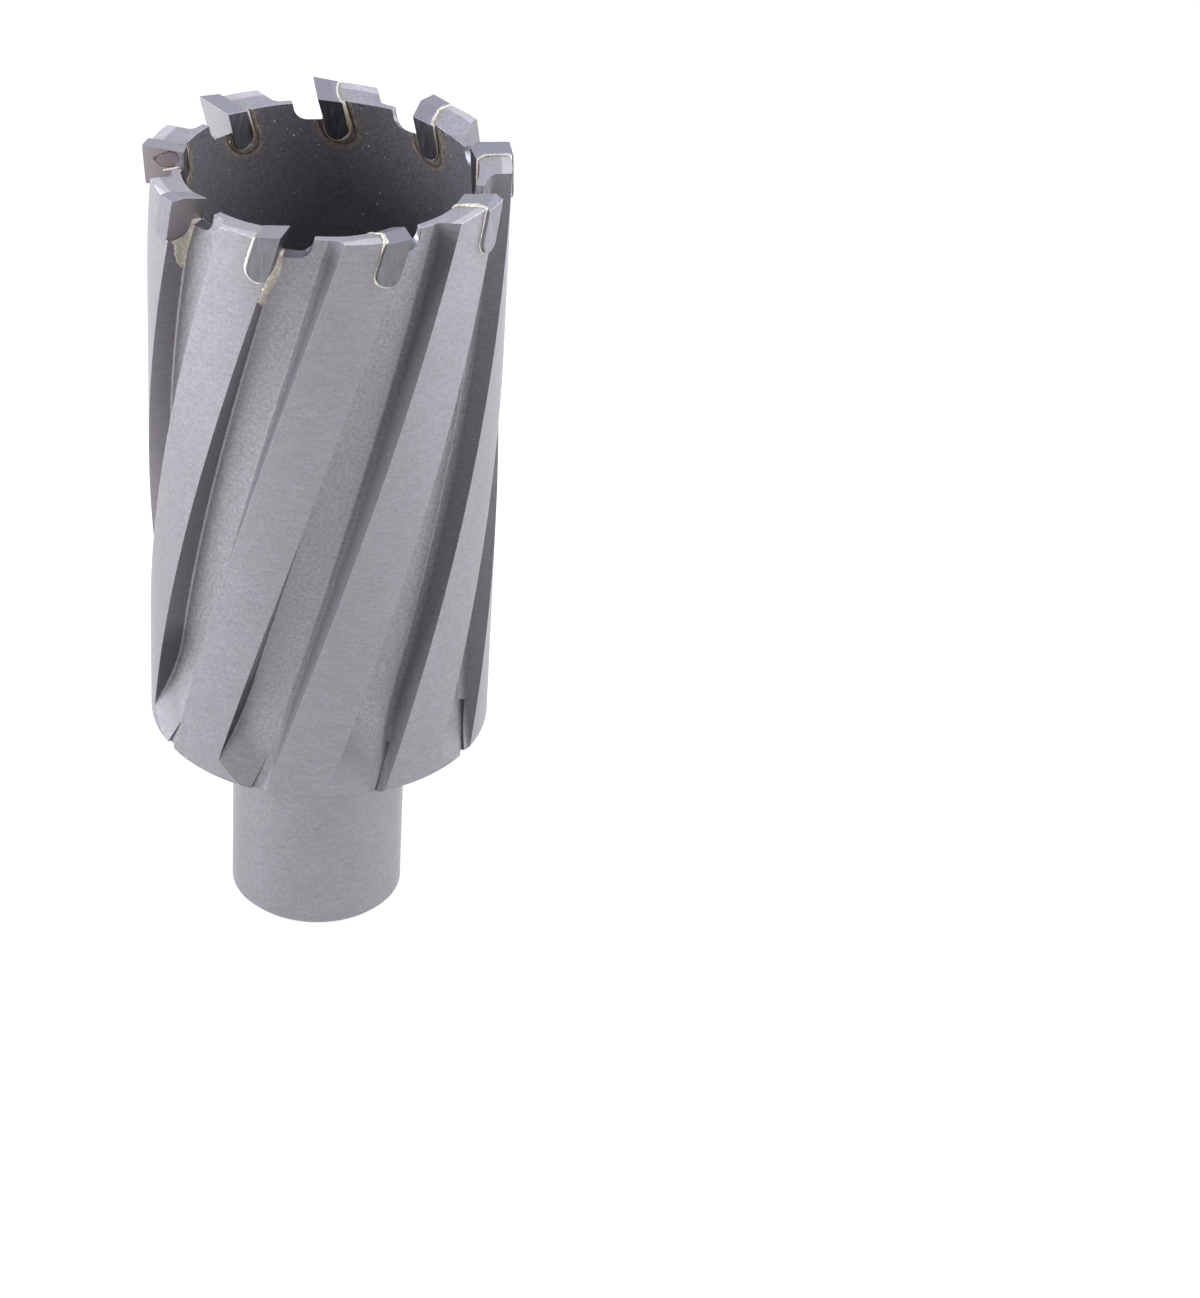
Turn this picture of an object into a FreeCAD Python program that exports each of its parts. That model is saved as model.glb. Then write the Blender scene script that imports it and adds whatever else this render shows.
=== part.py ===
import FreeCAD
import Part
import math
import os

os.makedirs("parts", exist_ok=True)

# Frame: millimetres, Z is the turning axis, z = 0 is the shank end, the teeth point to +Z.
# Seen from the toothed end the cutter turns counter-clockwise, so rake faces look towards +azimuth.

# Driving sizes
cut_diameter = 38.1
cut_radius = cut_diameter / 2.0
tooth_count = 9
first_tooth_azimuth = 140.1
tooth_pitch = 360.0 / tooth_count
tooth_chord = cut_diameter * math.sin(math.radians(tooth_pitch / 2.0))
tip_peak_z = 90.5
kerf_width = 4.2

# Shank
shank_diameter = 19.05
shank_length = 23.9
shank_chamfer = 0.6
shank_root_fillet = 0.5
flat_depth = 1.55
flat_length = 12.7
flat_middle_z = 12.0
flat_azimuths = (36.0, 126.0)

# Pilot pin bore, running from the shank end to the floor of the big bore
pilot_diameter = 8.0
pilot_chamfer = 0.7

# Body
side_clearance = 0.52
bore_clearance = 0.35
body_radius = cut_radius - side_clearance
bore_radius = cut_radius - kerf_width + bore_clearance
base_thickness = 14.1
bore_floor_z = shank_length + base_thickness
bore_floor_fillet = 1.0
body_rim_chamfer = 0.2
body_drop = 0.35
body_front_z = tip_peak_z - body_drop

# Helical flutes; the helix is measured a little above the flute floor
helix_lead = 381.0
core_wall = 0.95
spine_height = 0.85
flute_floor_radius = bore_radius + core_wall
spine_radius = flute_floor_radius + spine_height
flute_mouth_angle = 20.0
flute_floor_angle = 17.3
lead_corner_radius = 0.25
trail_corner_radius = 0.9
flute_depth = body_radius - flute_floor_radius

# Every cutting form reaches past the surface that it cuts by this much
overrun = 3.0
flute_outer_radius = body_radius + overrun

# Flute run-out near the lower rim, distances measured along the helix from its start
runout_height = 12.8
runout_start_z = shank_length + runout_height
runout_length_lead = 10.7
runout_length_trail = 12.6
runout_end = 15.5
groove_inner_u = 4.35
groove_outer_u = 5.3
groove_sections = ((6.3, 0.02), (10.0, 0.17), (13.2, 0.42), (15.5, 0.6))

# Gullet in front of each rake face
gullet_depth = 3.05
gullet_floor_z = tip_peak_z - gullet_depth
gullet_length = 3.05
gullet_corner_radius = 1.5
gullet_wall_lean = 12.0
gullet_slope = 30.0
gullet_undercut = 0.8

# Carbide tips
tip_thickness = 2.4
tip_inner_radius = cut_radius - kerf_width
tip_depth = 5.3
tip_foot_z = tip_peak_z - tip_depth
tip_lean = 15.5
tip_proud = 0.15
tip_side_relief = 7.0
tip_top_relief = 8.0
braze_gap = 0.2
body_top_relief = 1.0
land_lead = 0.9

# Crown forms, one for each tooth, as (distance in from the cutting circle, height from the peak)
inner_edge = 4.55
outer_edge = -0.35
form_inward = ((inner_edge, -0.70), (outer_edge, 0.05))
form_bevel = ((inner_edge, -1.20), (2.35, 0.0), (outer_edge, -0.15))
form_outward = ((inner_edge, -0.55), (3.35, 0.0), (outer_edge, -0.28))
form_corner = ((inner_edge, -0.80), (0.85, 0.0), (outer_edge, -0.55))
form_roof = ((inner_edge, -1.10), (2.05, 0.0), (outer_edge, -0.40))
form_shoulder = ((inner_edge, -0.90), (1.45, 0.0), (outer_edge, -0.12))
tip_forms = (form_inward, form_inward, form_bevel, form_outward, form_corner,
             form_roof, form_inward, form_shoulder, form_inward)

# The steel behind each tip: the same kind of form, a little flatter
steel_inward = ((inner_edge, -0.65), (outer_edge, 0.0))
steel_raised = ((inner_edge, -0.60), (0.55, 0.12), (outer_edge, 0.12))
steel_bevel = ((inner_edge, -1.05), (2.35, 0.1), (outer_edge, 0.05))
steel_outward = ((inner_edge, -0.35), (3.35, 0.0), (outer_edge, -0.15))
steel_corner = ((inner_edge, -0.65), (1.05, 0.0), (outer_edge, -0.10))
steel_roof = ((inner_edge, -0.85), (2.05, -0.05), (outer_edge, -0.27))
steel_edge_bevel = ((inner_edge, -0.70), (1.15, -0.12), (outer_edge, -1.0))
steel_forms = (steel_inward, steel_raised, steel_bevel, steel_outward, steel_corner,
               steel_roof, steel_edge_bevel, steel_edge_bevel, steel_inward)

helix_angle = math.atan(2.0 * math.pi * spine_radius / helix_lead)
turn_per_mm = 360.0 / helix_lead
sin_helix = math.sin(helix_angle)
cos_helix = math.cos(helix_angle)


def vec(x, y, z):
    return FreeCAD.Vector(x, y, z)


def turned(shape, angle):
    copy = shape.copy()
    copy.rotate(vec(0, 0, 0), vec(0, 0, 1), angle)
    return copy


def tooth_azimuth(number):
    return first_tooth_azimuth - tooth_pitch * (number - 1)


def revolved(points):
    corners = [vec(r, 0, z) for r, z in points]
    face = Part.Face(Part.makePolygon(corners + [corners[0]]))
    return face.revolve(vec(0, 0, 0), vec(0, 0, 1), 360.0)


def prism(points, to_space, push):
    # points are pairs in a drawing plane, to_space maps one pair to a vector
    corners = [to_space(a, b) for a, b in points]
    face = Part.Face(Part.makePolygon(corners + [corners[0]]))
    return face.extrude(push)


def fillet_points(before, corner, after, radius):
    # start, middle and end of the arc that rounds a corner of a drawn outline
    one = (before[0] - corner[0], before[1] - corner[1])
    two = (after[0] - corner[0], after[1] - corner[1])
    len_one = math.hypot(one[0], one[1])
    len_two = math.hypot(two[0], two[1])
    one = (one[0] / len_one, one[1] / len_one)
    two = (two[0] / len_two, two[1] / len_two)
    half = math.acos(one[0] * two[0] + one[1] * two[1]) / 2.0
    reach = radius / math.tan(half)
    start = (corner[0] + one[0] * reach, corner[1] + one[1] * reach)
    end = (corner[0] + two[0] * reach, corner[1] + two[1] * reach)
    mid = (one[0] + two[0], one[1] + two[1])
    mid_len = math.hypot(mid[0], mid[1])
    away = radius / math.sin(half) - radius
    middle = (corner[0] + mid[0] / mid_len * away, corner[1] + mid[1] / mid_len * away)
    return start, middle, end


def rounded_wire(points, radii, to_space):
    # closed outline whose corners are rounded where the radius is not zero
    count = len(points)
    arcs = []
    for i in range(count):
        if radii[i] > 0.0:
            arcs.append(fillet_points(points[i - 1], points[i], points[(i + 1) % count], radii[i]))
        else:
            arcs.append((points[i], None, points[i]))
    edges = []
    for i in range(count):
        start, middle, end = arcs[i]
        if middle is not None:
            edges.append(Part.Arc(to_space(*start), to_space(*middle), to_space(*end)).toShape())
        following = arcs[(i + 1) % count][0]
        edges.append(Part.LineSegment(to_space(*end), to_space(*following)).toShape())
    return Part.Wire(edges)


# Flute outline in the plane square to the helix: u runs across the flute, v is the height from the axis
def flute_u(radius, angle):
    u = 5.0
    for _ in range(30):
        across = radius * math.sin(math.radians(angle - turn_per_mm * u * sin_helix))
        u = across / cos_helix
    return u


def v_at(radius, u):
    return math.sqrt(radius ** 2 - (u * cos_helix) ** 2)


trail_low_u = flute_u(flute_floor_radius, flute_floor_angle)
trail_low_v = v_at(flute_floor_radius, trail_low_u)
trail_high_u = flute_u(body_radius, flute_mouth_angle)
trail_high_v = v_at(body_radius, trail_high_u)


def trail_wall_point(radius):
    # the point of the slanted trailing wall that lies at the given radius
    low = 0.0
    high = 8.0
    for _ in range(50):
        k = (low + high) / 2.0
        u = trail_low_u + k * (trail_high_u - trail_low_u)
        v = trail_low_v + k * (trail_high_v - trail_low_v)
        if math.hypot(u * cos_helix, v) < radius:
            low = k
        else:
            high = k
    return u, v


def helix_frame(along):
    # mapping of flute outline points at a distance down the helix from the run-out start
    drop = along * cos_helix
    angle = math.radians(-drop * turn_per_mm)
    out = vec(math.cos(angle), math.sin(angle), 0)
    side = vec(-math.sin(angle) * cos_helix, math.cos(angle) * cos_helix, -sin_helix)
    foot = vec(0, 0, runout_start_z - drop)

    def to_space(u, v):
        return foot + out * v + side * u

    return to_space


def flute_outline(lead_radius, trail_radius, to_space):
    trail_low = trail_wall_point(trail_radius)
    trail_top = trail_wall_point(flute_outer_radius)
    points = [(0.0, flute_outer_radius), (0.0, lead_radius), trail_low, trail_top]
    radii = (0.0, lead_corner_radius, trail_corner_radius, 0.0)
    return rounded_wire(points, radii, to_space)


def flute_sweep():
    rise = tip_peak_z + overrun - runout_start_z
    spine = Part.makeHelix(helix_lead, rise, spine_radius)
    spine.translate(vec(0, 0, runout_start_z))
    outline = flute_outline(flute_floor_radius, flute_floor_radius, helix_frame(0.0))
    return Part.Wire(spine.Edges).makePipeShell([outline], True, True)


def depth_at(along, length):
    return flute_depth * (1.0 - (along / length) ** 2)


def flute_runout():
    outlines = []
    steps = 6
    for i in range(steps + 1):
        along = runout_end * i / steps
        lead_radius = body_radius - depth_at(along, runout_length_lead)
        trail_radius = body_radius - depth_at(along, runout_length_trail)
        outlines.append(flute_outline(lead_radius, trail_radius, helix_frame(along)))
    return Part.makeLoft(outlines, True, False)


def flute_groove():
    # narrow second pass along the foot of the trailing wall, reaching the lower rim
    outlines = []
    for along, extra in groove_sections:
        depth = depth_at(along, runout_length_trail) + extra
        radius = body_radius - depth
        to_space = helix_frame(along)
        points = [(groove_inner_u, flute_outer_radius), (groove_inner_u, v_at(radius, groove_inner_u)),
                  (groove_outer_u, v_at(radius, groove_outer_u)), (groove_outer_u, flute_outer_radius)]
        corners = [to_space(u, v) for u, v in points]
        outlines.append(Part.makePolygon(corners + [corners[0]]))
    return Part.makeLoft(outlines, True, False)


# Tooth outlines are drawn in a plane square to the radius of the tooth: y forward, z up.
# The rake plane passes through y = 0 at the height of the steel top and leans with the helix.
def lean_shift(z):
    return (z - body_front_z) * math.tan(math.radians(tip_lean))


def u_prism(back, front, foot_z, top_z, inner, outer):
    # prism with a round foot, its sides parallel to the rake plane
    lean = math.radians(tip_lean)
    half = (front - back) * math.cos(lean) / 2.0
    middle = (front + back) / 2.0
    axis = (math.sin(lean), math.cos(lean))
    across = (math.cos(lean), -math.sin(lean))
    centre_z = foot_z + half
    centre = (middle + lean_shift(centre_z), centre_z)
    reach = (top_z - centre_z) / math.cos(lean)

    def place(a, b):
        y = centre[0] + across[0] * a + axis[0] * b
        z = centre[1] + across[1] * a + axis[1] * b
        return vec(inner, y, z)

    edges = [Part.Arc(place(-half, 0), place(0, -half), place(half, 0)).toShape(),
             Part.LineSegment(place(half, 0), place(half, reach)).toShape(),
             Part.LineSegment(place(half, reach), place(-half, reach)).toShape(),
             Part.LineSegment(place(-half, reach), place(-half, 0)).toShape()]
    return Part.Face(Part.Wire(edges)).extrude(vec(outer - inner, 0, 0))


tip_back = tip_proud - tip_thickness / math.cos(math.radians(tip_lean))
gap_across = braze_gap / math.cos(math.radians(tip_lean))


def slot_cutter():
    return u_prism(tip_back - gap_across, tip_proud + gap_across, tip_foot_z - braze_gap,
                   tip_peak_z + overrun, bore_radius - overrun, cut_radius + overrun)


def gullet_cutter():
    wall = math.tan(math.radians(gullet_wall_lean))
    top_z = tip_peak_z + overrun
    rise = top_z - gullet_floor_z
    start = lean_shift(gullet_floor_z)
    back = start - gullet_undercut
    points = [(back, top_z), (back, gullet_floor_z), (start + gullet_length, gullet_floor_z),
              (start + gullet_length + rise * wall, top_z)]
    radii = (0.0, 0.0, gullet_corner_radius, 0.0)
    outer = body_radius + overrun
    inner = bore_radius - overrun
    fall = math.tan(math.radians(gullet_slope))
    lift = (bore_radius - inner) * fall

    def place(y, z):
        return vec(inner, y, z + lift)

    face = Part.Face(rounded_wire(points, radii, place))
    return face.extrude(vec(outer - inner, 0, -(outer - inner) * fall))


def crown_cutter(form, peak_z, front_y, run_back, relief):
    # everything above a crown form, carried backwards while it sinks at the relief angle
    rise = math.tan(math.radians(relief))
    points = [(cut_radius - inset, peak_z + height) for inset, height in form]
    low_r = points[0][0] - overrun
    high_r = points[-1][0] + overrun
    top_z = peak_z + 2.0 * overrun
    points = [(low_r, points[0][1])] + points + [(high_r, points[-1][1])]
    points = points + [(high_r, top_z), (low_r, top_z)]

    def place(r, z):
        return vec(r, front_y, z + front_y * rise)

    return prism(points, place, vec(0, -run_back, -run_back * rise))


def ring_edge(shape, radius, z):
    # the circular edge round the turning axis at the given radius and height
    for edge in shape.Edges:
        box = edge.BoundBox
        flat = box.ZMax - box.ZMin < 1e-6 and abs(box.ZMin - z) < 1e-6
        if flat and abs((box.XMax - box.XMin) / 2.0 - radius) < 1e-6:
            return edge


def turned_blank():
    outer = body_radius
    shank = shank_diameter / 2.0
    pilot = pilot_diameter / 2.0
    points = [(pilot + pilot_chamfer, 0), (shank - shank_chamfer, 0), (shank, shank_chamfer),
              (shank, shank_length), (outer - body_rim_chamfer, shank_length),
              (outer, shank_length + body_rim_chamfer), (outer, tip_peak_z), (bore_radius, tip_peak_z),
              (bore_radius, bore_floor_z), (pilot, bore_floor_z), (pilot, pilot_chamfer)]
    blank = revolved(points)
    blank = blank.makeFillet(shank_root_fillet, [ring_edge(blank, shank, shank_length)])
    return blank.makeFillet(bore_floor_fillet, [ring_edge(blank, bore_radius, bore_floor_z)])


def clamping_flats():
    flats = []
    reach = shank_diameter / 2.0
    for azimuth in flat_azimuths:
        block = Part.makeBox(flat_depth + overrun, shank_diameter, flat_length)
        block.translate(vec(reach - flat_depth, -reach, flat_middle_z - flat_length / 2.0))
        flats.append(turned(block, azimuth))
    return flats


def carbide_tip(number):
    side = math.tan(math.radians(tip_side_relief))
    body = u_prism(tip_back, tip_proud, tip_foot_z, tip_peak_z + overrun,
                   tip_inner_radius, cut_radius + overrun)
    far = cut_radius + 2.0 * overrun
    front = tip_proud + overrun
    back = tip_back - tip_depth
    outline = [(cut_radius, front), (far, front), (far, back), (cut_radius + side * back, back),
               (cut_radius, 0.0)]

    def place(x, y):
        return vec(x, y, tip_foot_z - overrun)

    flank = prism(outline, place, vec(0, 0, tip_depth + 3.0 * overrun))
    crown = crown_cutter(tip_forms[number - 1], tip_peak_z, front, front - back, tip_top_relief)
    return body.cut([flank, crown])


# The steel body before the tip slots are cut
land_run = tooth_chord - gullet_length
base = turned_blank().cut(clamping_flats())
sweep = flute_sweep()
turn_to_start = tooth_azimuth(1) - (body_front_z - runout_start_z) * turn_per_mm
flute_tools = [turned(tool, turn_to_start) for tool in (sweep, flute_runout(), flute_groove())]
gullet = turned(gullet_cutter(), tooth_azimuth(1))
tools = []
for number in range(1, tooth_count + 1):
    step = -tooth_pitch * (number - 1)
    for tool in flute_tools:
        tools.append(turned(tool, step))
    tools.append(turned(gullet, step))
    crown = crown_cutter(steel_forms[number - 1], body_front_z, land_lead, land_run, body_top_relief)
    tools.append(turned(crown, tooth_azimuth(number)))
steel = base.cut(tools)

# Slots, tips and the braze that fills the gap between them
slot = slot_cutter()
slots = [turned(slot, tooth_azimuth(number)) for number in range(1, tooth_count + 1)]
tips = [turned(carbide_tip(number), tooth_azimuth(number)) for number in range(1, tooth_count + 1)]
brazes = [steel.common(slots[i]).cut(tips[i]) for i in range(tooth_count)]
cutter_body = steel.cut(slots)

cutter_body.exportStep("parts/cutter_body.step")
for i in range(tooth_count):
    tips[i].exportStep("parts/carbide_tip_%d.step" % (i + 1))
    brazes[i].exportStep("parts/braze_joint_%d.step" % (i + 1))
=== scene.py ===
import math

import bmesh
import bpy
from mathutils import Matrix, Vector, noise
from mathutils.bvhtree import BVHTree


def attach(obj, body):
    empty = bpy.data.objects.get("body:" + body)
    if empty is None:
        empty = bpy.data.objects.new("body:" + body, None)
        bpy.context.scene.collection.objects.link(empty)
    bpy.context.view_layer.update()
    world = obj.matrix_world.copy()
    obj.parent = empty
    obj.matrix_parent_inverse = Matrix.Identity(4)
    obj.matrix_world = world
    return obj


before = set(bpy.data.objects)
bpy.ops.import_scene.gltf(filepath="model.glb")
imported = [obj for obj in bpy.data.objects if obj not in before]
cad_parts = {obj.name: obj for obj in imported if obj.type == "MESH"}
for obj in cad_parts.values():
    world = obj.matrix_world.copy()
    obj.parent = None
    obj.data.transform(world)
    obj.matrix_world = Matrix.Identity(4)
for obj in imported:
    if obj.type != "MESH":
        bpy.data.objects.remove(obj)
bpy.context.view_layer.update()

mm = 0.001

# Sizes of the cutter that the finishes and the braze follow, in millimetres and degrees
tooth_count = 9
tooth_pitch = 360.0 / tooth_count
first_tooth_azimuth = 140.1
peak_z = 90.5
front_z = 90.15
body_radius = 18.53
flute_floor_radius = 16.15
bore_radius = 15.2
bore_floor_z = 38.0
tip_thickness = 2.4
tip_proud = 0.15
tip_foot_z = 85.2
tip_lean = math.radians(15.5)
gullet_floor_z = 87.45
runout_z = 38.0


def linear(hex_colour):
    """One sRGB colour, written in hex, as linear red, green, blue and alpha."""
    values = [int(hex_colour[i:i + 2], 16) / 255.0 for i in (1, 3, 5)]
    turned = [v / 12.92 if v <= 0.04045 else ((v + 0.055) / 1.055) ** 2.4 for v in values]
    return (*turned, 1.0)


def add(tree, kind, inputs=None, out=0, **settings):
    """One node with its settings and its inputs, which are plain values or the outputs of other nodes."""
    node = tree.nodes.new(kind)
    for name, value in settings.items():
        setattr(node, name, value)
    for key, value in (inputs or {}).items():
        if isinstance(value, bpy.types.NodeSocket):
            tree.links.new(value, node.inputs[key])
        else:
            node.inputs[key].default_value = value
    return node.outputs[out]


def new_material(name):
    material = bpy.data.materials.new(name)
    material.use_nodes = True
    tree = material.node_tree
    tree.nodes.clear()
    return material, tree


def finish_material(tree, shader):
    output = tree.nodes.new("ShaderNodeOutputMaterial")
    tree.links.new(shader, output.inputs["Surface"])


def place_nodes(tree):
    """Position in millimetres, then its X, Y and Z, and its distance from the turning axis."""
    where = add(tree, "ShaderNodeTexCoord", out=3)
    in_mm = add(tree, "ShaderNodeVectorMath", {0: where, "Scale": 1.0 / mm}, operation="SCALE")
    parts = tree.nodes.new("ShaderNodeSeparateXYZ")
    tree.links.new(in_mm, parts.inputs[0])
    across = add(tree, "ShaderNodeVectorMath", {0: in_mm, 1: (1.0, 1.0, 0.0)}, operation="MULTIPLY")
    radius = add(tree, "ShaderNodeVectorMath", {0: across}, out=1, operation="LENGTH")
    return in_mm, parts.outputs["X"], parts.outputs["Y"], parts.outputs["Z"], radius


def seam_distance(tree, x, y, z, radius):
    """Distance in millimetres from the round-footed seam of the nearest tip, seen square to the wall."""
    azimuth = add(tree, "ShaderNodeMath", {0: y, 1: x}, operation="ARCTAN2")
    shifted = add(tree, "ShaderNodeMath", {0: azimuth, 1: math.radians(first_tooth_azimuth)},
                  operation="SUBTRACT")
    half = math.radians(tooth_pitch / 2.0)
    local = add(tree, "ShaderNodeMath", {0: shifted, 1: half, 2: -half}, operation="WRAP")
    along = add(tree, "ShaderNodeMath", {0: local, 1: radius}, operation="MULTIPLY")
    # the tip leans with the helix, so its middle line moves back by the lean below the front
    below = add(tree, "ShaderNodeMath", {0: z, 1: front_z}, operation="SUBTRACT")
    lean = add(tree, "ShaderNodeMath", {0: below, 1: math.tan(tip_lean)}, operation="MULTIPLY")
    middle = tip_proud - tip_thickness / math.cos(tip_lean) / 2.0
    from_middle = add(tree, "ShaderNodeMath", {0: along, 1: lean}, operation="SUBTRACT")
    from_middle = add(tree, "ShaderNodeMath", {0: from_middle, 1: middle}, operation="SUBTRACT")
    side = add(tree, "ShaderNodeMath", {0: from_middle, 1: math.cos(tip_lean)}, operation="MULTIPLY")
    foot = add(tree, "ShaderNodeMath", {0: z, 1: tip_foot_z + tip_thickness / 2.0}, operation="SUBTRACT")
    under = add(tree, "ShaderNodeMath", {0: foot, 1: 0.0}, operation="MINIMUM")
    pair = add(tree, "ShaderNodeCombineXYZ", {0: side, 1: under})
    reach = add(tree, "ShaderNodeVectorMath", {0: pair}, out=1, operation="LENGTH")
    return add(tree, "ShaderNodeMath", {0: reach, 1: tip_thickness / 2.0}, operation="SUBTRACT")


def facing(tree, x, y):
    """How far the surface faces ahead in the direction of cutting, outward and upward."""
    normal = tree.nodes.new("ShaderNodeNewGeometry").outputs["Normal"]
    outward = add(tree, "ShaderNodeVectorMath", {0: add(tree, "ShaderNodeCombineXYZ", {0: x, 1: y})},
                  operation="NORMALIZE")
    ahead = add(tree, "ShaderNodeVectorMath", {0: outward, 1: (0.0, 0.0, -1.0)},
                operation="CROSS_PRODUCT")
    forward = add(tree, "ShaderNodeVectorMath", {0: normal, 1: ahead}, out=1, operation="DOT_PRODUCT")
    square = add(tree, "ShaderNodeVectorMath", {0: normal, 1: outward}, out=1, operation="DOT_PRODUCT")
    upward = add(tree, "ShaderNodeVectorMath", {0: normal, 1: (0.0, 0.0, 1.0)}, out=1,
                 operation="DOT_PRODUCT")
    return forward, square, upward


def band(tree, value, middle, width):
    """1 in the middle of a band of values, falling to 0 at width from it."""
    off = add(tree, "ShaderNodeMath", {0: value, 1: middle}, operation="SUBTRACT")
    off = add(tree, "ShaderNodeMath", {0: off}, operation="ABSOLUTE")
    return add(tree, "ShaderNodeMapRange", {0: off, 1: 0.0, 2: width, 3: 1.0, 4: 0.0})


def tinted(tree, part, below, above):
    """A colour laid over another one by a part of 0 to 1. A colour is hex or the output of a node."""
    one, two = [linear(c) if isinstance(c, str) else c for c in (below, above)]
    return add(tree, "ShaderNodeMix", {0: part, 6: one, 7: two}, out=2, data_type="RGBA")


def seen_directly(tree):
    """1 for what the camera sees, straight, mirrored or through glass, and 0 for light that spreads."""
    path = tree.nodes.new("ShaderNodeLightPath").outputs
    seen = add(tree, "ShaderNodeMath", {0: path["Is Camera Ray"], 1: path["Is Glossy Ray"]},
               operation="MAXIMUM")
    return add(tree, "ShaderNodeMath", {0: seen, 1: path["Is Transmission Ray"]}, operation="MAXIMUM")


def blasted_tool_steel():
    """Hardened tool steel, turned and then blasted with fine beads: an even satin with a sandy grain.

    The grit that made it is about 0.1 mm. The grain is drawn at 0.15 mm so that it shows, and so are the
    fine turning lines under it, at 0.12 mm, and the painted glints in the bore, at 0.165 mm.
    """
    grain_mm = 0.15
    turning_mm = 0.12
    speck_mm = 0.165
    stain_edge_mm = 0.7
    mottle_mm = 2.5
    edge_mm = 0.07
    relief_mm = 0.05
    material, tree = new_material("blasted_tool_steel")
    in_mm, x, y, z, radius = place_nodes(tree)
    grain = add(tree, "ShaderNodeTexNoise", {"Vector": in_mm, "Scale": 0.5 / grain_mm, "Detail": 3.0,
                                             "Roughness": 0.65})
    mottle = add(tree, "ShaderNodeTexNoise", {"Vector": in_mm, "Scale": 0.5 / mottle_mm, "Detail": 2.0})
    # flute floors were left rougher by the mill, so they look grainier and a little darker
    floor = add(tree, "ShaderNodeMapRange", {0: radius, 1: flute_floor_radius + 0.9,
                                             2: flute_floor_radius + 0.2, 3: 0.0, 4: 1.0})
    outside = add(tree, "ShaderNodeMath", {0: radius, 1: flute_floor_radius - 0.3},
                  operation="GREATER_THAN")
    floor = add(tree, "ShaderNodeMath", {0: floor, 1: outside}, operation="MULTIPLY")
    # the bore, from its floor to just under the top
    above_floor = add(tree, "ShaderNodeMapRange", {0: z, 1: bore_floor_z - 0.5, 2: bore_floor_z,
                                                   3: 0.0, 4: 1.0})
    below_top = add(tree, "ShaderNodeMapRange", {0: z, 1: peak_z - 0.3, 2: peak_z - 0.5,
                                                 3: 0.0, 4: 1.0})
    bore = add(tree, "ShaderNodeMapRange", {0: radius, 1: bore_radius + 0.08, 2: bore_radius + 0.03,
                                            3: 0.0, 4: 1.0})
    bore = add(tree, "ShaderNodeMath", {0: bore, 1: above_floor}, operation="MULTIPLY")
    bore = add(tree, "ShaderNodeMath", {0: bore, 1: below_top}, operation="MULTIPLY")
    steel = tinted(tree, mottle, "#87868c", "#8f8e95")
    steel = tinted(tree, floor, steel, "#88878d")
    # the bore is painted a darker grey as painted shade inside the hole, darkest at the mouth and lighter
    # further down
    bore_shade_ramp = add(tree, "ShaderNodeMapRange", {0: z, 1: peak_z - 2.0, 2: peak_z - 18.0, 3: 0.68, 4: 1.45})
    bore_shade_grey = add(tree, "ShaderNodeVectorMath", {0: linear("#76747d")[:3], "Scale": bore_shade_ramp},
                     operation="SCALE")
    steel = tinted(tree, bore, steel, bore_shade_grey)
    # painted shade on the flute walls: where they face back they are painted darker and colder
    forward, square, upward = facing(tree, x, y)
    rake_side = add(tree, "ShaderNodeMath", {0: forward, 1: 0.0}, operation="GREATER_THAN")
    # on the trailing side the painted shade begins in the round corner of the floor already, over the
    # highlight there
    first = add(tree, "ShaderNodeMapRange", {0: rake_side, 1: 0.0, 2: 1.0, 3: 0.987, 4: 0.8})
    full = add(tree, "ShaderNodeMapRange", {0: rake_side, 1: 0.0, 2: 1.0, 3: 0.92, 4: 0.5})
    wall = add(tree, "ShaderNodeMapRange", {0: square, 1: first, 2: full, 3: 0.0, 4: 0.85})
    level_part = add(tree, "ShaderNodeMath", {0: upward}, operation="ABSOLUTE")
    upright = add(tree, "ShaderNodeMapRange", {0: level_part, 1: 0.6, 2: 0.4, 3: 0.0, 4: 1.0})
    wall = add(tree, "ShaderNodeMath", {0: wall, 1: upright}, operation="MULTIPLY")
    wall = add(tree, "ShaderNodeMath", {0: wall, 1: outside}, operation="MULTIPLY")
    # the wall under the rake face, facing ahead, is painted lighter
    painted_wall_colour = tinted(tree, rake_side, "#646268", "#a29ea3")
    steel = tinted(tree, wall, steel, painted_wall_colour)
    # where the mill lifts out of the flute, the steeper faces of the run-out are painted darker
    tilted = add(tree, "ShaderNodeMapRange", {0: square, 1: 0.99, 2: 0.96, 3: 0.0, 4: 0.9})
    low = add(tree, "ShaderNodeMapRange", {0: z, 1: runout_z + 2.0, 2: runout_z - 2.0, 3: 0.0, 4: 1.0})
    above_shoulder = add(tree, "ShaderNodeMath", {0: radius, 1: flute_floor_radius - 0.5},
                         operation="GREATER_THAN")
    low = add(tree, "ShaderNodeMath", {0: low, 1: tilted}, operation="MULTIPLY")
    low = add(tree, "ShaderNodeMath", {0: low, 1: above_shoulder}, operation="MULTIPLY")
    low = add(tree, "ShaderNodeMath", {0: low, 1: upright}, operation="MULTIPLY")
    steel = tinted(tree, low, steel, "#6e6d72")
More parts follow.
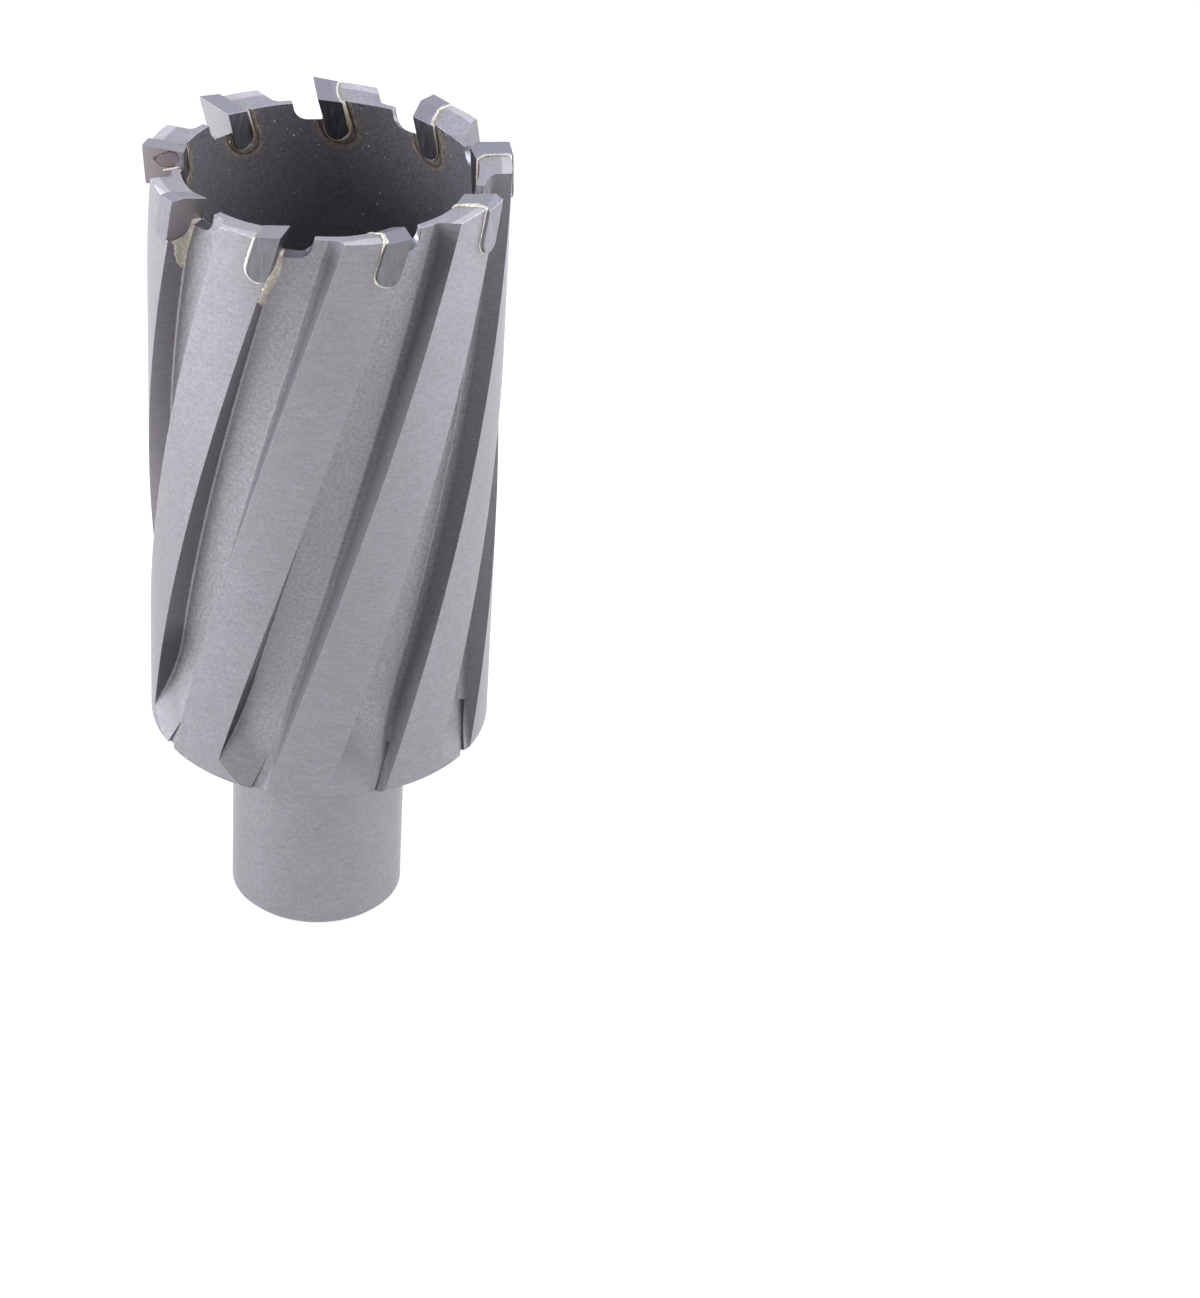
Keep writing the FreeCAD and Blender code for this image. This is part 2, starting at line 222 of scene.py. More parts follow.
    # the crowns were ground with the tips; their upward faces are painted lighter as painted light, the
    # gullet floors under them a darker blue-grey, and a painted highlight runs along the bevel at their
    # outer edge
    level = add(tree, "ShaderNodeMapRange", {0: upward, 1: 0.4, 2: 0.55, 3: 0.0, 4: 1.0})
    high = add(tree, "ShaderNodeMath", {0: z, 1: gullet_floor_z - 1.0}, operation="GREATER_THAN")
    crown = add(tree, "ShaderNodeMath", {0: level, 1: high}, operation="MULTIPLY")
    bevel_highlight = add(tree, "ShaderNodeMapRange", {0: radius, 1: body_radius - 1.15, 2: body_radius - 0.95,
                                             3: 0.0, 4: 1.0})
    above_gullet = add(tree, "ShaderNodeMapRange", {0: z, 1: gullet_floor_z + 0.5,
                                                    2: gullet_floor_z + 1.2, 3: 0.0, 4: 1.0})
    bevel_highlight = add(tree, "ShaderNodeMath", {0: bevel_highlight, 1: above_gullet}, operation="MULTIPLY")
    crown_light_and_shade = tinted(tree, above_gullet, "#72747e", "#a2a2af")
    crown_light_and_shade = tinted(tree, bevel_highlight, crown_light_and_shade, "#c2c2cd")
    steel = tinted(tree, crown, steel, crown_light_and_shade)
    # brazing heat left a straw-brown tint round each tip, plainest in the bore
    seam = seam_distance(tree, x, y, z, radius)
    wobble = add(tree, "ShaderNodeTexNoise", {"Vector": in_mm, "Scale": 0.5 / stain_edge_mm,
                                              "Detail": 3.0})
    wobble = add(tree, "ShaderNodeMapRange", {0: wobble, 1: 0.3, 2: 0.7, 3: -0.8, 4: 0.8})
    loose_seam = add(tree, "ShaderNodeMath", {0: seam, 1: wobble}, operation="ADD")
    tint = add(tree, "ShaderNodeMapRange", {0: loose_seam, 1: 2.0, 2: 0.2, 3: 0.0, 4: 1.0},
               interpolation_type="SMOOTHSTEP")
    tint_part = add(tree, "ShaderNodeMapRange", {0: bore, 1: 0.0, 2: 1.0, 3: 0.1, 4: 0.5})
    tint = add(tree, "ShaderNodeMath", {0: tint, 1: tint_part}, operation="MULTIPLY")
    steel = tinted(tree, tint, steel, "#79705f")
    # and in the bore the flux left a dark line and a broken golden one round each foot
    ripple = add(tree, "ShaderNodeMapRange", {0: mottle, 1: 0.3, 2: 0.7, 3: -0.25, 4: 0.25})
    line = add(tree, "ShaderNodeMath", {0: seam, 1: ripple}, operation="ADD")
    dark_line = add(tree, "ShaderNodeMath", {0: band(tree, line, 0.5, 0.2), 1: bore}, operation="MULTIPLY")
    steel = tinted(tree, dark_line, steel, "#4a4338")
    broken = add(tree, "ShaderNodeMapRange", {0: grain, 1: 0.42, 2: 0.56, 3: 0.0, 4: 0.5})
    gold_line = add(tree, "ShaderNodeMath", {0: band(tree, line, 0.85, 0.35), 1: bore},
                    operation="MULTIPLY")
    gold_line = add(tree, "ShaderNodeMath", {0: gold_line, 1: broken}, operation="MULTIPLY")
    steel = tinted(tree, gold_line, steel, "#9c8f76")
    # a few painted glints: near-white specks in the bore
    glint_specks = add(tree, "ShaderNodeTexNoise", {"Vector": in_mm, "Scale": 0.5 / speck_mm, "Detail": 0.0})
    glint_specks = add(tree, "ShaderNodeMapRange", {0: glint_specks, 1: 0.83, 2: 0.855, 3: 0.0, 4: 0.8})
    glint_specks = add(tree, "ShaderNodeMath", {0: glint_specks, 1: bore}, operation="MULTIPLY")
    steel = tinted(tree, glint_specks, steel, "#e8e8ee")
    # on the turned faces the grain follows faint lines round the body
    stretched = add(tree, "ShaderNodeVectorMath", {0: in_mm, 1: (0.15, 0.15, 1.0)}, operation="MULTIPLY")
    turning = add(tree, "ShaderNodeTexNoise", {"Vector": stretched, "Scale": 0.5 / turning_mm,
                                               "Detail": 2.0})
    rough_cut = add(tree, "ShaderNodeMath", {0: floor, 1: 0.6}, operation="MULTIPLY")
    rough_cut = add(tree, "ShaderNodeMath", {0: bore, 1: rough_cut}, operation="MAXIMUM")
    turned = add(tree, "ShaderNodeMapRange", {0: rough_cut, 1: 0.0, 2: 0.5, 3: 0.33, 4: 0.0})
    marks = add(tree, "ShaderNodeMix", {0: turned, 2: grain, 3: turning})
    darkest = add(tree, "ShaderNodeMapRange", {0: rough_cut, 1: 0.0, 2: 1.0, 3: 0.84, 4: 0.74})
    lightest = add(tree, "ShaderNodeMapRange", {0: rough_cut, 1: 0.0, 2: 1.0, 3: 1.16, 4: 1.26})
    shade = add(tree, "ShaderNodeMapRange", {0: marks, 1: 0.3, 2: 0.7, 3: darkest, 4: lightest})
    steel = add(tree, "ShaderNodeVectorMath", {0: steel, "Scale": shade}, operation="SCALE")
    rough = add(tree, "ShaderNodeMapRange", {0: grain, 1: 0.3, 2: 0.7, 3: 0.40, 4: 0.50})
    # the trailing side keeps the coarser cut of the mill, which spreads its gloss
    trailing = add(tree, "ShaderNodeMath", {0: 1.0, 1: rake_side}, operation="SUBTRACT")
    trailing = add(tree, "ShaderNodeMath", {0: wall, 1: trailing}, operation="MULTIPLY")
    rough = add(tree, "ShaderNodeMix", {0: trailing, 2: rough, 3: 0.75})
    # broken edges: the rounded normal differs from the flat one only next to an edge
    metal = add(tree, "ShaderNodeMapRange", {0: bore, 1: 0.0, 2: 1.0, 3: 1.0, 4: 0.6})
    rounded = add(tree, "ShaderNodeBevel", {"Radius": edge_mm * mm}, samples=6)
    relief = add(tree, "ShaderNodeMapRange", {0: floor, 1: 0.0, 2: 1.0, 3: 0.10, 4: 0.22})
    bumped = add(tree, "ShaderNodeBump", {"Strength": relief, "Distance": relief_mm * mm, "Height": grain,
                                          "Normal": rounded})
    shader = add(tree, "ShaderNodeBsdfPrincipled", {"Base Color": steel, "Metallic": metal,
                                                    "Roughness": rough, "Normal": bumped})
    finish_material(tree, shader)
    return material


def ground_carbide(name, rake=None, stained=False, pale=False):
    """Cemented carbide, diamond-ground: smoother and a cooler grey than the steel, with fine scratches.

    The scratches of the wheel are much closer together; they are drawn at 0.12 mm so that they show.
    rake is the colour of the rake face where it differs: lapped pale on one tip, stained by flux on another,
    and painted lighter as painted light on a third.
    A pale tip was blasted with the body, so its sides are as light as the steel; on that third tip the pale
    sides are painted light.
    """
    scratch_mm = 0.12
    cloud_mm = 0.83
    edge_mm = 0.05
    relief_mm = 0.03
    # the dried drop of flux on the stained tip: its middle from the axis and the shank end, its half axes
    drop_radius, drop_z, drop_half_width, drop_half_height = 16.7, 88.7, 1.4, 1.05
    material, tree = new_material(name)
    in_mm, x, y, z, radius = place_nodes(tree)
    forward, _, upward = facing(tree, x, y)
    stretched = add(tree, "ShaderNodeVectorMath", {0: in_mm, 1: (1.0, 1.0, 0.12)}, operation="MULTIPLY")
    scratch = add(tree, "ShaderNodeTexNoise", {"Vector": stretched, "Scale": 0.5 / scratch_mm,
                                               "Detail": 2.0})
    cloud = add(tree, "ShaderNodeTexNoise", {"Vector": in_mm, "Scale": 0.5 / cloud_mm, "Detail": 3.0})
    darker, lighter = ("#85858c", "#909099") if pale else ("#6c6c73", "#79797f")
    colour = tinted(tree, cloud, darker, lighter)
    # the upward faces of the tip are painted lighter, as painted light on its top
    level = add(tree, "ShaderNodeMapRange", {0: upward, 1: 0.5, 2: 0.7, 3: 0.0, 4: 0.8})
    colour = tinted(tree, level, colour, "#9898a9")
    lapping = add(tree, "ShaderNodeMapRange", {0: scratch, 1: 0.3, 2: 0.7, 3: 0.9, 4: 1.1})
    colour = add(tree, "ShaderNodeVectorMath", {0: colour, "Scale": lapping}, operation="SCALE")
    rough = add(tree, "ShaderNodeMapRange", {0: scratch, 1: 0.3, 2: 0.7, 3: 0.30, 4: 0.40})
    if rake:
        ahead = add(tree, "ShaderNodeMapRange", {0: forward, 1: 0.6, 2: 0.8, 3: 0.0, 4: 1.0})
        patchy = add(tree, "ShaderNodeMapRange", {0: scratch, 1: 0.3, 2: 0.7, 3: 0.8, 4: 1.0})
        rough = add(tree, "ShaderNodeMix", {0: ahead, 2: rough, 3: 0.5})
        ahead = add(tree, "ShaderNodeMath", {0: ahead, 1: patchy}, operation="MULTIPLY")
        colour = tinted(tree, ahead, colour, rake)
    if stained:
        # the drop shows as a thin brown outline, an uneven oval on the rake face
        across = add(tree, "ShaderNodeMath", {0: radius, 1: drop_radius}, operation="SUBTRACT")
        up = add(tree, "ShaderNodeMath", {0: z, 1: drop_z}, operation="SUBTRACT")
        across = add(tree, "ShaderNodeMath", {0: across, 1: drop_half_width}, operation="DIVIDE")
        up = add(tree, "ShaderNodeMath", {0: up, 1: drop_half_height}, operation="DIVIDE")
        oval = add(tree, "ShaderNodeCombineXYZ", {0: across, 1: up})
        oval = add(tree, "ShaderNodeVectorMath", {0: oval}, out=1, operation="LENGTH")
        uneven = add(tree, "ShaderNodeMapRange", {0: cloud, 1: 0.3, 2: 0.7, 3: -0.3, 4: 0.3})
        oval = add(tree, "ShaderNodeMath", {0: oval, 1: uneven}, operation="ADD")
        inside = add(tree, "ShaderNodeMapRange", {0: oval, 1: 1.0, 2: 0.9, 3: 0.0, 4: 0.45})
        colour = tinted(tree, inside, colour, "#7f7478")
        colour = tinted(tree, band(tree, oval, 1.0, 0.1), colour, "#5c4c4e")
    rounded = add(tree, "ShaderNodeBevel", {"Radius": edge_mm * mm}, samples=4)
    bumped = add(tree, "ShaderNodeBump", {"Strength": 0.06, "Distance": relief_mm * mm,
                                          "Height": scratch, "Normal": rounded})
    shader = add(tree, "ShaderNodeBsdfPrincipled", {"Base Color": colour, "Metallic": 1.0,
                                                    "Roughness": rough, "Normal": bumped})
    finish_material(tree, shader)
    return material


def silver_braze():
    """Silver brazing filler, as it froze: a matt cream skin outside, browned by flux deep in the bore.

    The pits of its skin are finer; they are drawn at 0.15 mm so that they show.
    """
    speck_mm = 0.15
    patch_mm = 0.6
    relief_mm = 0.05
    material, tree = new_material("silver_braze")
    in_mm, _, _, z, radius = place_nodes(tree)
    speck = add(tree, "ShaderNodeTexNoise", {"Vector": in_mm, "Scale": 0.5 / speck_mm, "Detail": 3.0})
    patch = add(tree, "ShaderNodeTexNoise", {"Vector": in_mm, "Scale": 0.5 / patch_mm, "Detail": 2.0})
    cream = tinted(tree, speck, "#a39e95", "#c9c5bd")
    tan = add(tree, "ShaderNodeMapRange", {0: patch, 1: 0.52, 2: 0.68, 3: 0.0, 4: 0.5})
    cream = tinted(tree, tan, cream, "#ab9f8c")
    inside = add(tree, "ShaderNodeMapRange", {0: radius, 1: bore_radius + 0.5, 2: bore_radius + 0.05,
                                              3: 0.0, 4: 0.85})
    deep = add(tree, "ShaderNodeMapRange", {0: z, 1: peak_z - 1.4, 2: peak_z - 3.2, 3: 0.25, 4: 1.0})
    inside = add(tree, "ShaderNodeMath", {0: inside, 1: deep}, operation="MULTIPLY")
    cream = tinted(tree, inside, cream, "#6a5f49")
    bumped = add(tree, "ShaderNodeBump", {"Strength": 0.5, "Distance": relief_mm * mm, "Height": speck})
    shader = add(tree, "ShaderNodeBsdfPrincipled", {"Base Color": cream, "Metallic": 0.2,
                                                    "Roughness": 0.6, "Normal": bumped})
    finish_material(tree, shader)
    return material


def flux_covered_braze():
    """Filler that ran into the flute, under dried flux: a dull khaki crust with pale and dark crumbs."""
    crumb_mm = 0.18
    patch_mm = 0.55
    relief_mm = 0.08
    material, tree = new_material("flux_covered_braze")
    in_mm = place_nodes(tree)[0]
    crumb = add(tree, "ShaderNodeTexNoise", {"Vector": in_mm, "Scale": 0.5 / crumb_mm, "Detail": 4.0,
                                             "Roughness": 0.7})
    patch = add(tree, "ShaderNodeTexNoise", {"Vector": in_mm, "Scale": 0.5 / patch_mm, "Detail": 2.0})
    crust = tinted(tree, patch, "#9a9388", "#b6afa3")
    pale = add(tree, "ShaderNodeMapRange", {0: crumb, 1: 0.55, 2: 0.65, 3: 0.0, 4: 0.8})
    crust = tinted(tree, pale, crust, "#d2cdc2")
    dark = add(tree, "ShaderNodeMapRange", {0: crumb, 1: 0.42, 2: 0.34, 3: 0.0, 4: 0.7})
    crust = tinted(tree, dark, crust, "#7b7264")
    bumped = add(tree, "ShaderNodeBump", {"Strength": 0.6, "Distance": relief_mm * mm, "Height": crumb})
    shader = add(tree, "ShaderNodeBsdfPrincipled", {"Base Color": crust, "Metallic": 0.1,
                                                    "Roughness": 0.65, "Normal": bumped})
    finish_material(tree, shader)
    return material


def ground_braze():
    """Filler ground flush with the crown: a warm grey hairline, and a cold film where it lies on the tip."""
    patch_mm = 0.25
    seam_play_mm = 0.02
    material, tree = new_material("ground_braze")
    in_mm, x, y, z, radius = place_nodes(tree)
    over_tip = add(tree, "ShaderNodeMath", {0: seam_distance(tree, x, y, z, radius), 1: -seam_play_mm},
                   operation="LESS_THAN")
    patch = add(tree, "ShaderNodeTexNoise", {"Vector": in_mm, "Scale": 0.5 / patch_mm, "Detail": 2.0})
    grey = tinted(tree, patch, "#97958f", "#aeaba2")
    grey = tinted(tree, over_tip, grey, "#9c9ca9")
    shader = add(tree, "ShaderNodeBsdfPrincipled", {"Base Color": grey, "Metallic": 1.0,
                                                    "Roughness": 0.36})
    finish_material(tree, shader)
    return material


def felt(names):
    """The surfaces of CAD nodes, to feel for with rays, so that the braze lies on them."""
    corners = []
    faces = []
    for name in names:
        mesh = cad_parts[name].data
        first = len(corners)
        corners += [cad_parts[name].matrix_world @ corner.co for corner in mesh.vertices]
        faces += [[first + k for k in face.vertices] for face in mesh.polygons]
    return BVHTree.FromPolygons(corners, faces)


surface = felt(["cutter_body"])
whole_surface = felt(["cutter_body"] + ["carbide_tip_%d" % n for n in range(1, tooth_count + 1)])


def tooth_directions(number):
    """Outward at a tooth, and ahead in its direction of cutting."""
    azimuth = math.radians(first_tooth_azimuth - tooth_pitch * (number - 1))
    out = Vector((math.cos(azimuth), math.sin(azimuth), 0.0))
    ahead = Vector((-math.sin(azimuth), math.cos(azimuth), 0.0))
    return out, ahead


def outline_point(travel, offset):
    """Point of the tip's round-footed outline as (forward, height) in millimetres.

    travel runs from -1 at the top of the back side over 0 at the foot to +1 at the top of the rake side.
    """
    half = tip_thickness / 2.0 + offset
    straight = (front_z - tip_foot_z - tip_thickness / 2.0) / math.cos(tip_lean)
    arc = math.pi * half / 2.0
    length = travel * (straight + arc)
    if abs(length) <= arc:
        angle = length / half
        across = half * math.sin(angle)
        up = -half * math.cos(angle)
    else:
        across = math.copysign(half, length)
        up = abs(length) - arc
    centre_z = tip_foot_z + tip_thickness / 2.0
    middle = tip_proud - tip_thickness / math.cos(tip_lean) / 2.0
    centre_y = middle + (centre_z - front_z) * math.tan(tip_lean)
    forward = centre_y + across * math.cos(tip_lean) + up * math.sin(tip_lean)
    height = centre_z - across * math.sin(tip_lean) + up * math.cos(tip_lean)
    return forward, height


def in_tooth(number, radial, forward, height):
    """A point given in the frame of a tooth, in metres in the row frame."""
    out, ahead = tooth_directions(number)
    return (out * radial + ahead * forward + Vector((0.0, 0.0, height))) * mm


def wall_radial(number, forward, height, outside):
    """Radial place of the steel at that point of the wall, felt for from outside or from the bore."""
    clear_outside, clear_inside, reach = 25.0, 8.0, 20.0
    out = tooth_directions(number)[0]
    start = in_tooth(number, clear_outside if outside else clear_inside, forward, height)
    hit = surface.ray_cast(start, -out if outside else out, reach * mm)[0]
    return None if hit is None else hit.dot(out) / mm


def skin(name, rings):
    """A closed smooth piece over rings of points, in metres."""
    shape = bmesh.new()
    loops = [[shape.verts.new(point) for point in ring] for ring in rings]
    for one, two in zip(loops, loops[1:]):
        for k in range(len(one)):
            following = (k + 1) % len(one)
            shape.faces.new((one[k], one[following], two[following], two[k]))
    shape.faces.new(list(reversed(loops[0])))
    shape.faces.new(loops[-1])
    for face in shape.faces:
        face.smooth = True
    bmesh.ops.recalc_face_normals(shape, faces=shape.faces)
    mesh = bpy.data.meshes.new(name)
    shape.to_mesh(mesh)
    shape.free()
    piece = bpy.data.objects.new(name, mesh)
    bpy.context.scene.collection.objects.link(piece)
    return piece


def tube(name, points, radii):
    """A closed bead along points, in metres, with its own radius at each."""
    sides = 10
    lump_mm = 0.4
    rings = []
    last_side = None
    for i, point in enumerate(points):
        before = points[max(i - 1, 0)]
        after = points[min(i + 1, len(points) - 1)]
        along = (after - before).normalized()
        side = along.orthogonal().normalized()
        if last_side is not None:
            side = (last_side - along * last_side.dot(along)).normalized()
        last_side = side
        other = along.cross(side)
        ring = []
        for k in range(sides):
            angle = 2.0 * math.pi * k / sides
            lump = 1.0 + 0.25 * noise.noise(point / (lump_mm * mm) + Vector((k * 0.7, 0.0, 0.0)))
            reach = (side * math.cos(angle) + other * math.sin(angle)) * radii[i] * lump
            ring.append(point + reach)
        rings.append(ring)
    return skin(name, rings)


def assign(node, material):
    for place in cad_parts[node].material_slots:
        place.material = material


def dress(piece, material):
    piece.data.materials.clear()
    piece.data.materials.append(material)
    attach(piece, "root")


def top_height(number, radial, forward):
    """Height of the steel crown of a tooth at that place, or a hair behind it where a ray slips by."""
    clear_z, reach = 95.0, 8.0
    for shift in (0.0, 0.02, -0.02, 0.05, -0.05, 0.1):
        start = in_tooth(number, radial + shift, forward - abs(shift), clear_z)
        hit = surface.ray_cast(start, Vector((0.0, 0.0, -1.0)), reach * mm)[0]
        if hit is not None:
            return hit.z / mm
    return front_z


def blend(table, place):
    """Value at a place in a table of (place, value) rows, with straight lines between them."""
    if place <= table[0][0]:
        return table[0][1]
    for (one, low), (two, high) in zip(table, table[1:]):
        if place <= two:
            return low + (high - low) * (place - one) / (two - one)
    return table[-1][1]


def seam_course(number):
    """The seam of a tip: up round its foot in the bore, over the crown, and down round its foot outside.

    Gives (place, point) rows; place runs 0..1 in the bore, 1..2 over the crown and 2..3 outside.
    """
    wall_steps, crown_steps = 60, 30
    # ends of the bead on the rake side, as travel along the outline, in the bore and outside
    inner_end, outer_end = 0.55, 0.45
    # the bead lies on the seam, and the steel behind the braze layer is what the rays feel for
    seam_offset, wall_offset, crown_offset = 0.1, 0.45, 0.5
    proud, bulge_mm, edge = 0.02, 0.25, 0.05
    rows = []
    behind = outline_point(-1.0, crown_offset)[0]
    inner_edge = math.sqrt(bore_radius ** 2 - behind ** 2) + edge
    outer_edge = math.sqrt(body_radius ** 2 - behind ** 2) - edge
    crown_in = top_height(number, inner_edge, behind)
    crown_out = top_height(number, outer_edge, behind)
    for i in range(wall_steps + 1):
        travel = inner_end - (inner_end + 1.0) * i / wall_steps
        forward, height = outline_point(travel, seam_offset)
        radial = wall_radial(number, *outline_point(travel, wall_offset), False)
        if radial is not None and height < crown_in - 0.05:
            rows.append((i / wall_steps, in_tooth(number, radial - proud, forward, height)))
    top_forward = outline_point(-1.0, seam_offset)[0]
    for i in range(crown_steps + 1):
        radial = inner_edge + (outer_edge - inner_edge) * i / crown_steps
        height = top_height(number, radial, behind)
        # the filler bulges on to the tip over the middle of the crown
        bulge = bulge_mm * math.sin(math.pi * i / crown_steps)
        rows.append((1.0 + i / crown_steps, in_tooth(number, radial, top_forward + bulge, height + 0.01)))
    for i in range(wall_steps + 1):
        travel = -1.0 + (outer_end + 1.0) * i / wall_steps
        forward, height = outline_point(travel, seam_offset)
        radial = wall_radial(number, *outline_point(travel, wall_offset), True)
        if radial is not None and height < crown_out - 0.02:
            rows.append((2.0 + i / wall_steps, in_tooth(number, radial + proud, forward, height)))
    return rows


# How far the filler stands out along each seam, as (place, radius in millimetres)
bead_sizes = {
    1: [(0.0, 0.10), (0.3, 0.13), (0.5, 0.10), (0.75, 0.17), (0.95, 0.16), (1.05, 0.0), (1.95, 0.0),
        (2.1, 0.18), (2.6, 0.2), (3.0, 0.0)],
    2: [(0.0, 0.12), (0.3, 0.18), (0.6, 0.22), (0.9, 0.16), (1.1, 0.09), (1.9, 0.1), (2.2, 0.2),
        (2.7, 0.15), (3.0, 0.0)],
    3: [(0.0, 0.05), (0.3, 0.09), (0.6, 0.07), (0.9, 0.13), (1.1, 0.16), (1.5, 0.15), (1.95, 0.13),
        (2.3, 0.18), (2.8, 0.2), (3.0, 0.0)],
    4: [(0.0, 0.0), (0.5, 0.1), (0.9, 0.15), (1.2, 0.15), (1.6, 0.1), (1.9, 0.17), (2.4, 0.2),
        (2.8, 0.15), (3.0, 0.0)],
    5: [(0.0, 0.08), (0.5, 0.1), (0.9, 0.15), (1.1, 0.22), (1.6, 0.26), (1.95, 0.2), (2.1, 0.12),
        (2.4, 0.08), (2.55, 0.11), (2.7, 0.0), (3.0, 0.0)],
    6: [(0.0, 0.08), (0.6, 0.1), (0.95, 0.1), (1.1, 0.05), (1.4, 0.17), (1.9, 0.25), (2.05, 0.25),
        (2.2, 0.08), (2.3, 0.0), (2.33, 0.0), (2.36, 0.08), (2.5, 0.1), (2.6, 0.2), (2.85, 0.16),
        (2.95, 0.0), (3.0, 0.0)],
    7: [(0.0, 0.1), (0.6, 0.12), (0.95, 0.1), (1.1, 0.0), (1.85, 0.0), (1.93, 0.14), (2.05, 0.21),
        (2.4, 0.24), (2.65, 0.21), (2.85, 0.17), (2.93, 0.0), (3.0, 0.0)],
    8: [(0.0, 0.08), (0.6, 0.1), (0.95, 0.06), (1.05, 0.0), (2.05, 0.0), (2.15, 0.06), (2.6, 0.08),
        (2.8, 0.0), (3.0, 0.0)],
    9: [(0.0, 0.06), (0.5, 0.1), (0.9, 0.09), (1.05, 0.0), (1.95, 0.0), (2.1, 0.15), (2.7, 0.17),
        (3.0, 0.0)],
}
thinnest_bead_mm = 0.035
widest_gap_mm = 0.6


def bead_runs(number):
    """The stretches of a seam that carry a bead, as lists of (point, radius in metres)."""
    runs = [[]]
    for place, point in seam_course(number):
        wave = 1.0 + 0.3 * noise.noise(Vector((place * 9.0, number * 3.1, 0.0)))
        size = blend(bead_sizes[number], place) * wave
        if size > thinnest_bead_mm:
            if runs[-1] and (point - runs[-1][-1][0]).length > widest_gap_mm * mm:
                runs.append([])
            runs[-1].append((point, size * mm))
        elif runs[-1]:
            runs.append([])
    return [run for run in runs if len(run) > 4]


def lay_beads(number):
    for index, run in enumerate(bead_runs(number)):
        # each bead thins out towards its ends
        tapered = [size * min(1.0, 0.35 + 0.3 * min(i, len(run) - 1 - i))
                   for i, (point, size) in enumerate(run)]
        bead = tube("braze_bead_%d_%d" % (number, index + 1), [point for point, size in run], tapered)
        dress(bead, braze)


def puddle(name, number, rows):
    """Filler that ran down into the corner of the flute ahead of a tip.

    rows are (height, reach out along the wall, reach along the flute floor), in millimetres.
    """
    steps, ring_steps = 44, 8
    step_mm = 0.35
    widest_mm, thinnest_mm = 2.42, 0.04
    lowest_floor = 15.3
    # the rays that feel for the wall start this far ahead and reach this far back, those for the floor
    # start at this radius and reach this far in
    ahead_clear, ahead_reach, out_clear, out_reach = 2.0, 4.0, 20.0, 6.0
    buried = 0.3
    corner_radial = flute_floor_radius - 0.1
    out, ahead = tooth_directions(number)

    def wall_forward(radial, height):
        found = []
        # the filler bridges the small step under the tip, so it lies on the proudest place near by
        for near in (-step_mm, 0.0, step_mm):
            guess = tip_proud + (height + near - front_z) * math.tan(tip_lean)
            start = in_tooth(number, radial, guess + ahead_clear, height + near)
            hit = whole_surface.ray_cast(start, -ahead, ahead_reach * mm)[0]
            away = guess if hit is None else hit.dot(ahead) / mm
            found.append(away - near * math.tan(tip_lean))
        return max(found)

    def floor_radial(forward, height):
        start = in_tooth(number, out_clear, forward, height)
        hit = whole_surface.ray_cast(start, -out, out_reach * mm)[0]
        return corner_radial if hit is None else max(hit.dot(out) / mm, lowest_floor)

    rings = []
    high, low = rows[0][0], rows[-1][0]
    walls = [(-h, a) for h, a, b in rows]
    floors = [(-h, b) for h, a, b in rows]
    for i in range(steps + 1):
        height = high + (low - high) * i / steps
        uneven = 1.0 + 0.25 * noise.noise(Vector((height * 1.7, number * 5.0, 1.0)))
        uneven_floor = 1.0 + 0.35 * noise.noise(Vector((height * 1.9, number * 5.0, 7.0)))
        corner = wall_forward(corner_radial + 0.25, height)
        up_wall = corner_radial + min(blend(walls, -height) * uneven, widest_mm)
        on_floor = corner + max(blend(floors, -height) * uneven_floor, thinnest_mm)
        wall_end = Vector((up_wall, wall_forward(up_wall, height) + 0.03))
        floor_end = Vector((floor_radial(on_floor, height) + 0.02, on_floor))
        hollow = Vector((corner_radial, corner))
        # the open side is a hollow curve from the wall to the floor, pulled towards the corner
        pull = hollow.lerp((wall_end + floor_end) / 2.0, 0.4)
        ring = []
        for k in range(ring_steps + 1):
            t = k / ring_steps
            place = wall_end * (1 - t) ** 2 + pull * 2 * t * (1 - t) + floor_end * t ** 2
            lump = 0.05 * math.sin(math.pi * t) * noise.noise(Vector((height * 2.5, t * 3.0, number)))
            ring.append(place + Vector((lump, lump)))
        # the other corners lie inside the steel
        ring += [floor_end + Vector((-buried, 0.0)), hollow + Vector((-buried, -buried)),
                 wall_end + Vector((0.0, -buried))]
        rings.append([in_tooth(number, p.x, p.y, height) for p in ring])
    dress(skin(name, rings), run_braze)


def crumb_row(name, number):
    """Crumbs of filler along the foot of a tip."""
    count = 14
    outermost, spacing, rise, least, spread = 17.0, 0.13, 0.04, 0.09, 0.09
    foot_forward = tip_proud + (gullet_floor_z - front_z) * math.tan(tip_lean)
    points = [in_tooth(number, outermost - spacing * i,
                       foot_forward + 0.08 + rise * i * math.tan(tip_lean)
                       + 0.05 * noise.noise(Vector((i * 0.9, 2.0, 0.0))),
                       gullet_floor_z + 0.05 + rise * i) for i in range(count)]
    radii = [(least + spread * abs(noise.noise(Vector((i * 0.8, 5.0, 0.0))))) * mm for i in range(count)]
    dress(tube(name, points, radii), braze)


steel = blasted_tool_steel()
carbide = ground_carbide("ground_carbide")
pale_carbide = ground_carbide("pale_carbide", pale=True)
lapped_carbide = ground_carbide("lapped_carbide", "#a8a8ad", pale=True)
# on this tip the rake face and sides are painted lighter, as painted light on a tip that lies in shade
painted_light_carbide = ground_carbide("painted_light_carbide", "#a39e9f", pale=True)
stained_carbide = ground_carbide("stained_carbide", "#a39b9f", stained=True)
braze = silver_braze()
run_braze = flux_covered_braze()
flush_braze = ground_braze()

finishes = {1: lapped_carbide, 5: pale_carbide, 8: painted_light_carbide, 9: stained_carbide}
assign("cutter_body", steel)
for number in range(1, tooth_count + 1):
    assign("carbide_tip_%d" % number, finishes.get(number, carbide))
    assign("braze_joint_%d" % number, flush_braze)

